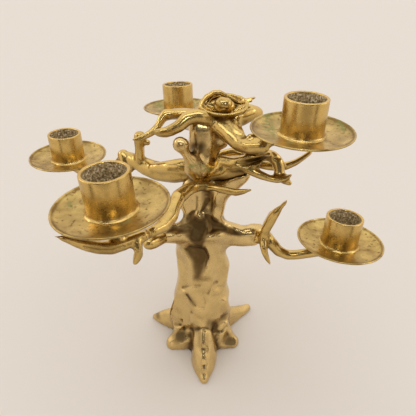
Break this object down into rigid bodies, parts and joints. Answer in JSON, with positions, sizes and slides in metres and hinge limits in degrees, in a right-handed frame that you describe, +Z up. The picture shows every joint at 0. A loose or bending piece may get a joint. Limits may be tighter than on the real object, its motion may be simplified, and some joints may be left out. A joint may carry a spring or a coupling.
{
  "type": "candelabra",
  "caption": "Cast brass candelabra shaped like a gnarled tree: a trunk on spreading roots, twisted branches with knobs and twigs, and tilted drip pans with candle cups.",
  "frame": {"origin": "middle of the bounding box, on the table that the roots stand on", "axes": "+Z up; +X to the right and +Y away from someone who faces the front root; the widest reach runs along X"},
  "size_m": [0.3182, 0.2668, 0.2683],
  "materials": {
    "trunk_casting": "satin cast brass, broadly faceted, darker in the hollows",
    "branch_castings": "polished cast brass, darker in the creases",
    "drip_pans": "worn polished brass with pits and a little verdigris",
    "candle_cups": "satin golden brass tube, stained inside",
    "screws": "dull brass"
  },
  "bodies": {
    "root": {"trunk": "trunk_casting", "lower_left_stub": "branch_castings", "lower_right_branch": "branch_castings", "lower_right_up_twig": "branch_castings", "lower_right_down_twig": "branch_castings", "upper_trunk": "trunk_casting", "saddle_knob": "branch_castings", "front_branch": "branch_castings", "hanging_twig": "branch_castings", "front_right_twig": "branch_castings", "left_branch": "branch_castings", "left_knob": "branch_castings", "left_back_knob": "branch_castings", "mid_right_branch": "branch_castings", "mid_right_tip": "branch_castings", "mid_right_claw": "branch_castings", "mid_right_twig": "branch_castings", "crown": "branch_castings", "crown_left_twig": "branch_castings", "crown_back_twig": "branch_castings", "crown_back_twig_tip": "branch_castings", "upper_right_branch": "branch_castings", "rear_branch": "branch_castings", "front_root": "trunk_casting", "front_right_root": "trunk_casting", "right_root": "trunk_casting", "rear_root": "trunk_casting", "left_root": "trunk_casting", "front_left_root": "trunk_casting", "crown_shell": "branch_castings", "crown_burl": "branch_castings", "front_left_pan": "drip_pans", "front_left_cup": "candle_cups", "front_left_screw": "screws", "left_pan": "drip_pans", "left_cup": "candle_cups", "left_screw": "screws", "rear_pan": "drip_pans", "rear_cup": "candle_cups", "rear_screw": "screws", "upper_right_pan": "drip_pans", "upper_right_cup": "candle_cups", "upper_right_screw": "screws", "lower_right_pan": "drip_pans", "lower_right_cup": "candle_cups", "lower_right_screw": "screws"}
  },
  "joints": []
}
